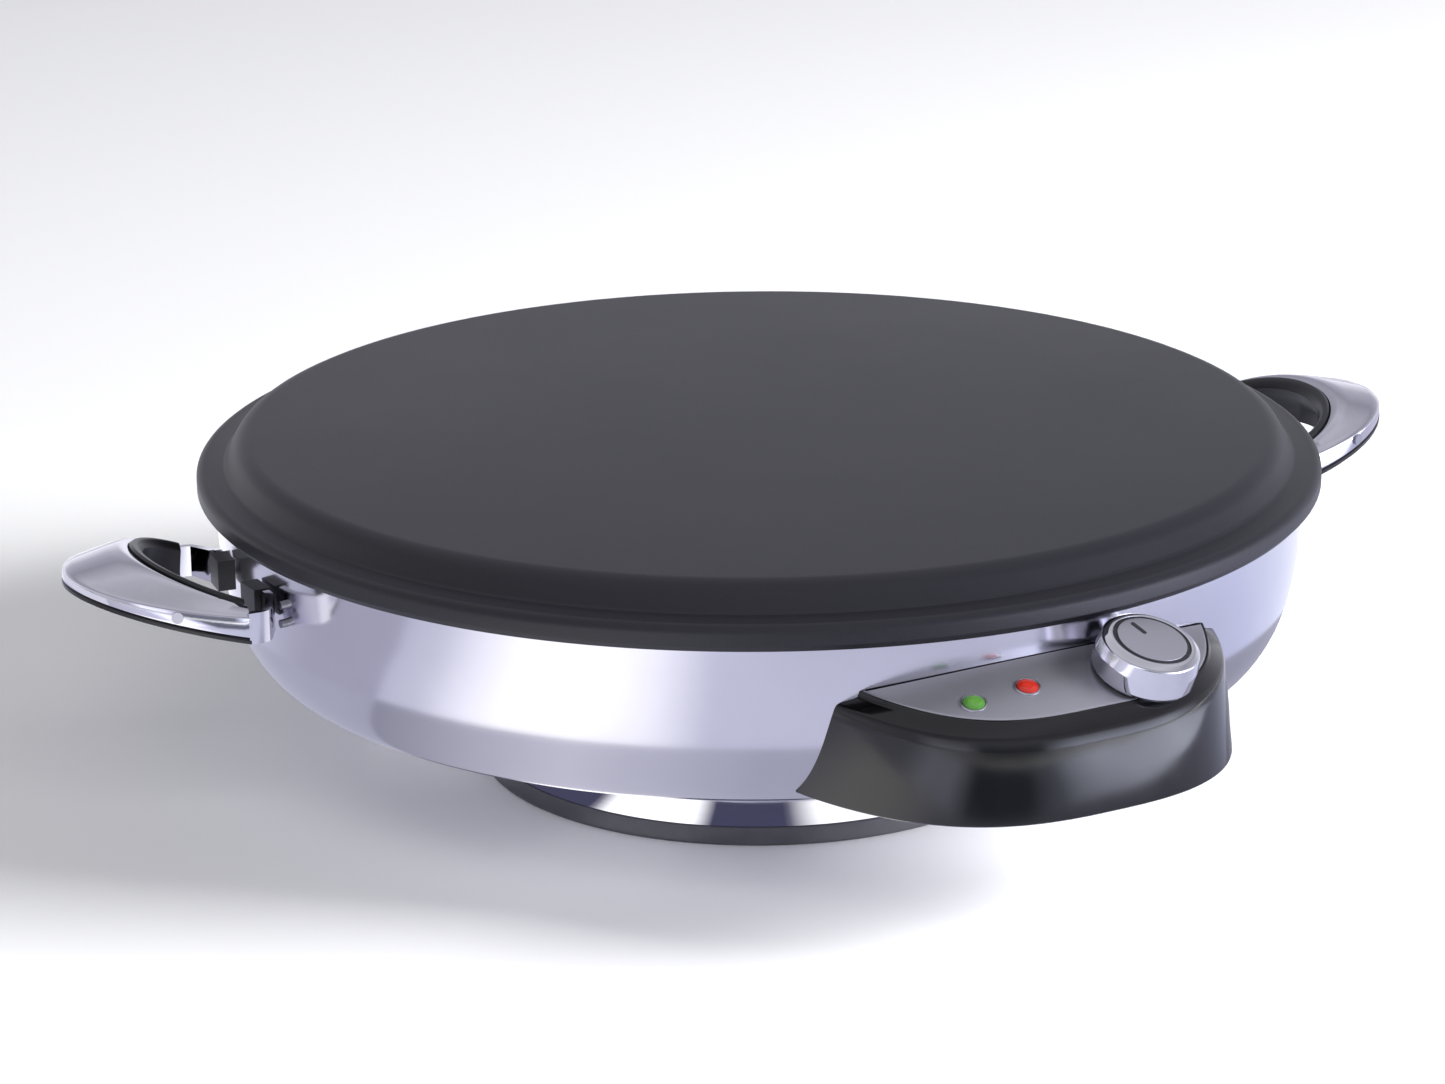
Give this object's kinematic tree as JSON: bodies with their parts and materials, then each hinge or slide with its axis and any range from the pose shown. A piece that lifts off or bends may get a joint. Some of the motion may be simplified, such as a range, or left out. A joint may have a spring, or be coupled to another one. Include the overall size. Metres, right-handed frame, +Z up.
{
  "type": "electric griddle",
  "caption": "Round electric griddle with a cast plate on a spun steel bowl and pedestal, a sloped control box with a thermostat knob and pilot lights, and loop handles.",
  "frame": {"origin": "on the bowl's axis, at the level of the foot ring's underside", "axes": "+Z up along the bowl's axis, +X through the right handle, -Y through the control box"},
  "size_m": [0.537, 0.4517, 0.1297],
  "materials": {
    "cast_plate": "matt non-stick coated cast metal with a fine grain",
    "stainless_bowl": "polished spun stainless steel",
    "plated_band": "bright plated steel",
    "grey_foot": "dark grey moulded plastic",
    "black_gloss": "gloss black heat-resisting plastic",
    "black_moulding": "black moulded plastic",
    "satin_panel": "satin silver",
    "green_glow": "green translucent lens",
    "red_glow": "red translucent lens",
    "chrome_knob": "mirror chrome",
    "satin_cap": "satin anodised",
    "dark_mark": "dark inlaid line",
    "handle_chrome": "polished plated metal",
    "bakelite": "black phenolic moulding",
    "gland_rubber": "black rubber",
    "mineral_wool": "pressed mineral wool",
    "reflector_sheet": "mill finish sheet",
    "element_sheath": "oxidised steel sheath",
    "copper": "drawn copper",
    "brass_screws": "turned brass",
    "lead_sleeve": "glass-fibre sleeving",
    "zinc_steel": "zinc-plated steel"
  },
  "bodies": {
    "base": {"band_screws": "zinc_steel", "base_plate": "zinc_steel", "base_screws": "zinc_steel", "bowl_shell": "stainless_bowl", "bulb_clip": "zinc_steel", "capillary_tube": "copper", "clamp_screws": "zinc_steel", "control_housing": "black_gloss", "control_panel": "satin_panel", "cooking_plate": "cast_plate", "cord_gland": "gland_rubber", "cover_screws": "zinc_steel", "element_clamps": "zinc_steel", "element_leads": "lead_sleeve", "element_pins": "brass_screws", "foot_ring": "grey_foot", "green_lamp": "black_moulding", "green_lens": "green_glow", "heat_reflector": "reflector_sheet", "heat_shield": "reflector_sheet", "heating_element": "element_sheath", "housing_cover": "black_moulding", "insulation_pad": "mineral_wool", "left_handle_blocks": "bakelite", "left_handle_grip": "bakelite", "left_handle_rivets": "zinc_steel", "left_handle_screws": "zinc_steel", "left_handle_shell": "handle_chrome", "pedestal_band": "plated_band", "red_lamp": "black_moulding", "red_lens": "red_glow", "right_handle_blocks": "bakelite", "right_handle_grip": "bakelite", "right_handle_rivets": "zinc_steel", "right_handle_screws": "zinc_steel", "right_handle_shell": "handle_chrome", "rod_nuts": "zinc_steel", "rod_spacers": "zinc_steel", "sensing_bulb": "copper", "supply_leads": "lead_sleeve", "terminal_block": "black_moulding", "terminal_screws": "brass_screws", "thermal_fuse": "lead_sleeve", "thermostat": "zinc_steel", "thermostat_nut": "brass_screws", "tie_rods": "zinc_steel"},
    "knob": {"control_knob": "chrome_knob", "knob_cap": "satin_cap", "knob_mark": "dark_mark", "knob_clip": "zinc_steel", "thermostat_shaft": "zinc_steel"}
  },
  "joints": [
    {"name": "knob_turn", "type": "hinge", "parent": "base", "child": "knob", "pos_m": [0.0235, -0.2203, 0.09159], "axis": [-0.0776, 0.328, -0.9415], "range_deg": [0, 270]}
  ]
}
